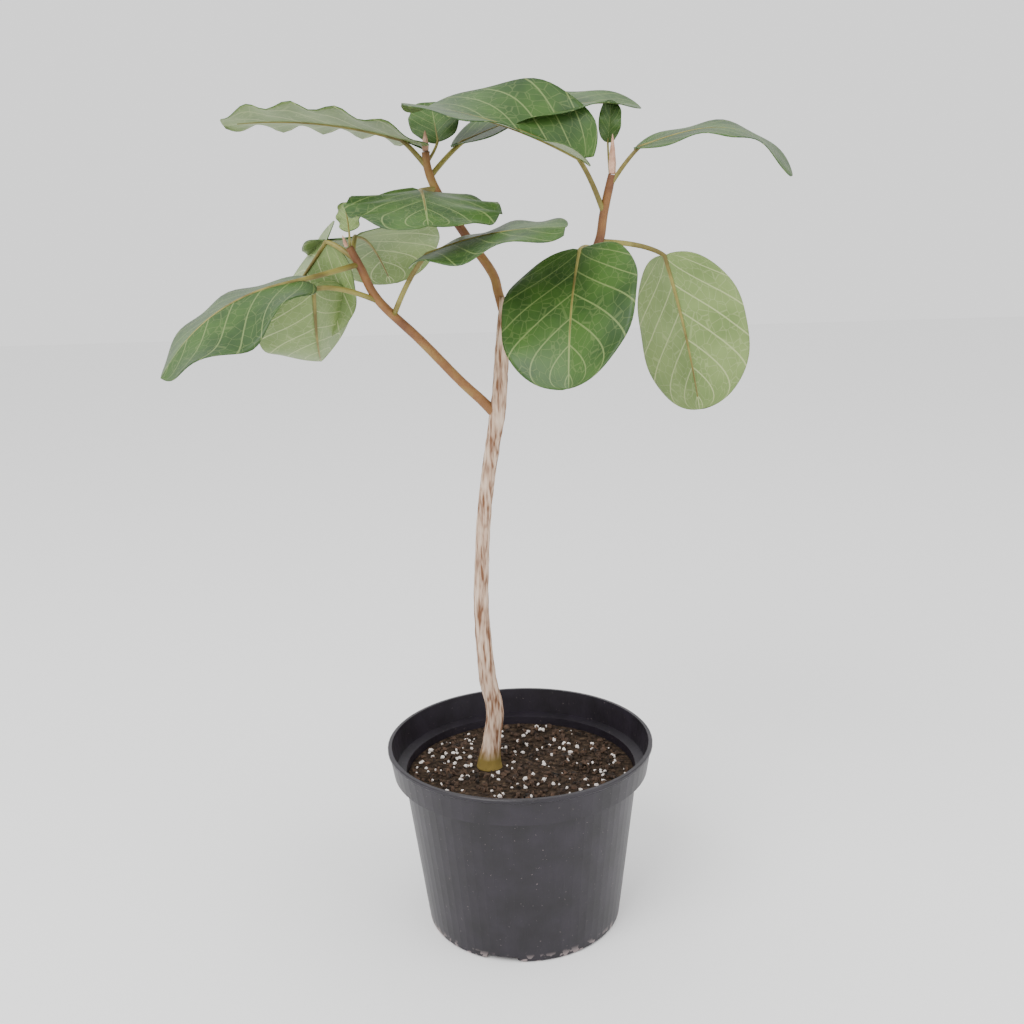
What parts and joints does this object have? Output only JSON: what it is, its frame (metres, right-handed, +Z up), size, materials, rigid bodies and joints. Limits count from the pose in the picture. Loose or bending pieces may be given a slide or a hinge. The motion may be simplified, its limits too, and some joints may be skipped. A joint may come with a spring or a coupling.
{
  "type": "potted ficus socotrana",
  "caption": "Young broad-leaved fig tree with a pruned trunk and forking boughs, standing in a round plastic nursery pot of potting mix.",
  "frame": {"origin": "centre of the pot's flat underside", "axes": "+Z up along the pot's axis, -Y towards the front that the picture shows, +X to its right"},
  "size_m": [0.4206, 0.2176, 0.6161],
  "materials": {
    "pot": "satin",
    "soil": "rough",
    "trunk": "rough bark",
    "bough": "smooth bark",
    "leaf": "satin",
    "young_leaf": "satin",
    "bud": "satin"
  },
  "bodies": {
    "root": {"pot": "pot", "soil": "soil", "trunk": "trunk", "left_bough": "bough", "centre_bough": "bough", "right_bough": "bough", "left_bud": "bud", "centre_bud": "bud", "right_bud": "bud", "left_leaf_outer": "leaf", "left_leaf_low": "leaf", "left_leaf_back": "leaf", "left_leaf_rear": "leaf", "left_leaf_inner": "leaf", "left_leaf_young": "young_leaf", "centre_leaf_long": "leaf", "centre_leaf_back": "leaf", "centre_leaf_front": "leaf", "centre_leaf_young": "young_leaf", "right_leaf_upper": "leaf", "right_leaf_front": "leaf", "right_leaf_hanging": "leaf", "right_leaf_young": "young_leaf", "right_leaf_arching": "leaf"}
  },
  "joints": []
}
